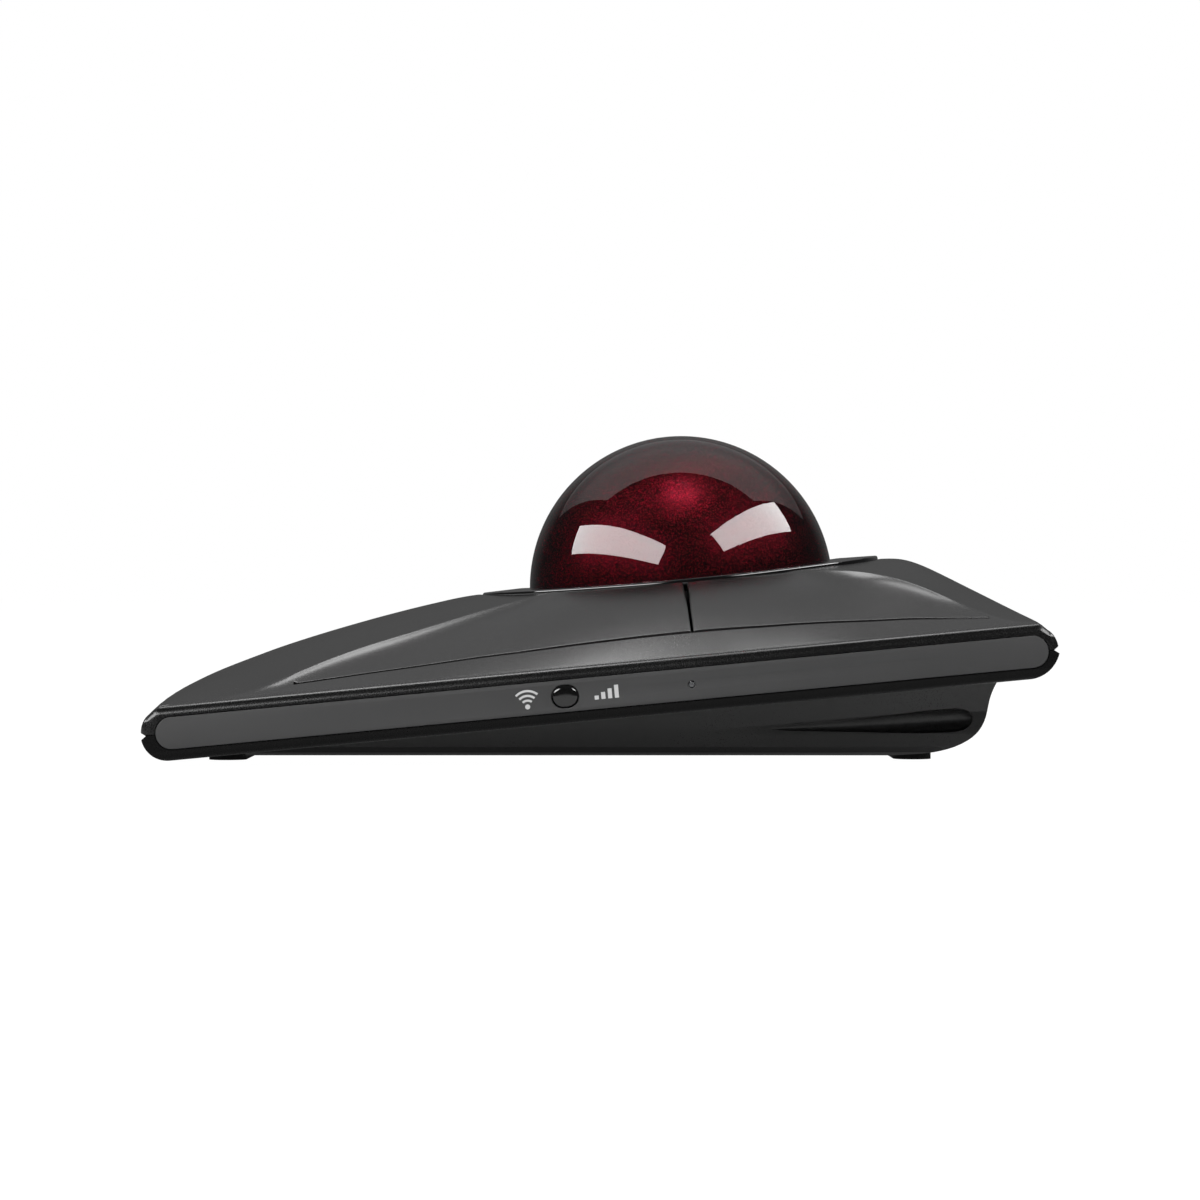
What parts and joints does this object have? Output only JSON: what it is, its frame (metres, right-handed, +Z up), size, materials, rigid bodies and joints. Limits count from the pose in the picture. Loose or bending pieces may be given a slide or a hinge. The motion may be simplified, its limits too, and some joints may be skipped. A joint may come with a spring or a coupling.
{
  "type": "trackball mouse",
  "caption": "Low tilted finger trackball: a large ball in a bezel ring on a wedge-shaped body with hinged click panels, side trim strips and a resolution button.",
  "frame": {"origin": "centre of the footprint box on the surface the feet stand on", "axes": "+X to the user's right, +Y away from the user along the long side, +Z up"},
  "size_m": [0.1328, 0.1571, 0.0573],
  "materials": {
    "cover_plastic": "fine moulded texture, satin sheen",
    "shell_plastic": "near-black satin",
    "base_plastic": "dark satin",
    "strip_plastic": "flat mid-grey satin",
    "ring_gloss": "polished piano black",
    "ball_red": "deep red resin with fine metallic speckle",
    "ball_clear": "clear polished resin",
    "bearing_ceramic": "polished white ceramic",
    "optic_clear": "clear moulded",
    "chip_plastic": "black moulded",
    "board_green": "solder-masked laminate",
    "battery_wrap": "silver-grey film",
    "plug_plastic": "off-white nylon",
    "plug_metal": "nickel-plated",
    "screw_steel": "black zinc",
    "foot_rubber": "soft matte"
  },
  "bodies": {
    "root": {"ball_cup": "base_plastic", "base_housing": "base_plastic", "base_screws": "screw_steel", "battery_bracket": "base_plastic", "battery_cell": "battery_wrap", "battery_plug": "plug_plastic", "bezel_ring": "ring_gloss", "board_screws": "screw_steel", "case_screws": "screw_steel", "charging_port": "plug_metal", "controller_chip": "chip_plastic", "foot_front_left": "foot_rubber", "foot_front_right": "foot_rubber", "foot_rear_left": "foot_rubber", "foot_rear_right": "foot_rubber", "lower_shell": "shell_plastic", "main_board": "board_green", "microswitch_front_left": "chip_plastic", "microswitch_front_right": "chip_plastic", "microswitch_rear_left": "chip_plastic", "microswitch_rear_right": "chip_plastic", "mode_switch": "chip_plastic", "port_board": "board_green", "port_tongue": "chip_plastic", "sensor_board_left": "board_green", "sensor_board_right": "board_green", "sensor_chip_left": "chip_plastic", "sensor_chip_right": "chip_plastic", "sensor_lens_left": "optic_clear", "sensor_lens_right": "optic_clear", "side_strip_left": "strip_plastic", "side_strip_right": "strip_plastic", "status_led": "optic_clear", "status_light_pipe": "optic_clear", "support_bearings": "bearing_ceramic", "tact_switch": "chip_plastic", "top_cover": "cover_plastic", "wireless_module": "plug_metal"},
    "ball_carrier": {"ball_core": "ball_red"},
    "ball_spin": {"ball_inner_layer": "ball_red"},
    "ball_roll_side": {"ball_flake_layer": "ball_red"},
    "ball": {"ball_shell": "ball_clear"},
    "front_left_button": {"button_front_left": "cover_plastic"},
    "front_right_button": {"button_front_right": "cover_plastic"},
    "rear_left_button": {"button_rear_left": "cover_plastic"},
    "rear_right_button": {"button_rear_right": "cover_plastic"},
    "front_left_plunger": {"plunger_front_left": "plug_plastic"},
    "front_right_plunger": {"plunger_front_right": "plug_plastic"},
    "rear_left_plunger": {"plunger_rear_left": "plug_plastic"},
    "rear_right_plunger": {"plunger_rear_right": "plug_plastic"},
    "resolution_button": {"resolution_button": "ring_gloss"},
    "mode_knob": {"mode_knob": "ring_gloss"},
    "receiver": {"receiver_body": "chip_plastic", "receiver_plug": "plug_metal"}
  },
  "joints": [
    {"name": "ball_lift", "type": "slide", "parent": "root", "child": "ball_carrier", "axis": [0, -0.0942, 0.9956], "range_m": [0, 0.045]},
    {"name": "ball_twist", "type": "hinge", "parent": "ball_carrier", "child": "ball_spin", "pos_m": [0, 0.01519, 0.02983], "axis": [0, -0.0942, 0.9956], "continuous": true},
    {"name": "ball_roll_across", "type": "hinge", "parent": "ball_spin", "child": "ball_roll_side", "pos_m": [0, 0.01519, 0.02983], "axis": [0, 0.9956, 0.0942], "continuous": true},
    {"name": "ball_roll_along", "type": "hinge", "parent": "ball_roll_side", "child": "ball", "pos_m": [0, 0.01519, 0.02983], "axis": [1, 0, 0], "continuous": true},
    {"name": "front_left_click", "type": "hinge", "parent": "root", "child": "front_left_button", "pos_m": [0, -0.05113, 0.01611], "axis": [-1, 0, 0], "range_deg": [0, 0.7], "stiffness_Nm_per_rad": 0.6, "springref_deg": -1.15},
    {"name": "front_right_click", "type": "hinge", "parent": "root", "child": "front_right_button", "pos_m": [0, -0.05113, 0.01611], "axis": [-1, 0, 0], "range_deg": [0, 0.7], "stiffness_Nm_per_rad": 0.6, "springref_deg": -1.15},
    {"name": "rear_left_click", "type": "hinge", "parent": "root", "child": "rear_left_button", "pos_m": [0, 0.06531, 0.02753], "axis": [1, 0, 0], "range_deg": [0, 0.7], "stiffness_Nm_per_rad": 0.6, "springref_deg": -1.15},
    {"name": "rear_right_click", "type": "hinge", "parent": "root", "child": "rear_right_button", "pos_m": [0, 0.06531, 0.02753], "axis": [1, 0, 0], "range_deg": [0, 0.7], "stiffness_Nm_per_rad": 0.6, "springref_deg": -1.15},
    {"name": "front_left_plunge", "type": "slide", "parent": "root", "child": "front_left_plunger", "axis": [0, 0.0942, -0.9956], "range_m": [0, 0.0005359]},
    {"name": "front_right_plunge", "type": "slide", "parent": "root", "child": "front_right_plunger", "axis": [0, 0.0942, -0.9956], "range_m": [0, 0.0005359]},
    {"name": "rear_left_plunge", "type": "slide", "parent": "root", "child": "rear_left_plunger", "axis": [0, 0.0942, -0.9956], "range_m": [0, 0.0004735]},
    {"name": "rear_right_plunge", "type": "slide", "parent": "root", "child": "rear_right_plunger", "axis": [0, 0.0942, -0.9956], "range_m": [0, 0.0004735]},
    {"name": "resolution_press", "type": "slide", "parent": "root", "child": "resolution_button", "axis": [-1, 0, 0], "range_m": [0, 0.0003], "stiffness_N_per_m": 1500, "springref_m": -0.0003},
    {"name": "mode_slide", "type": "slide", "parent": "root", "child": "mode_knob", "axis": [0, 0.9956, 0.0942], "range_m": [-0.002, 0.002]},
    {"name": "receiver_slide", "type": "slide", "parent": "root", "child": "receiver", "axis": [0, 1, 0], "range_m": [0, 0.0075]}
  ],
  "couplings": [
    {"joint": "front_left_plunge", "follows": "front_left_click", "m_per_rad": 0.043},
    {"joint": "front_right_plunge", "follows": "front_right_click", "m_per_rad": 0.043},
    {"joint": "rear_left_plunge", "follows": "rear_left_click", "m_per_rad": 0.038},
    {"joint": "rear_right_plunge", "follows": "rear_right_click", "m_per_rad": 0.038}
  ]
}
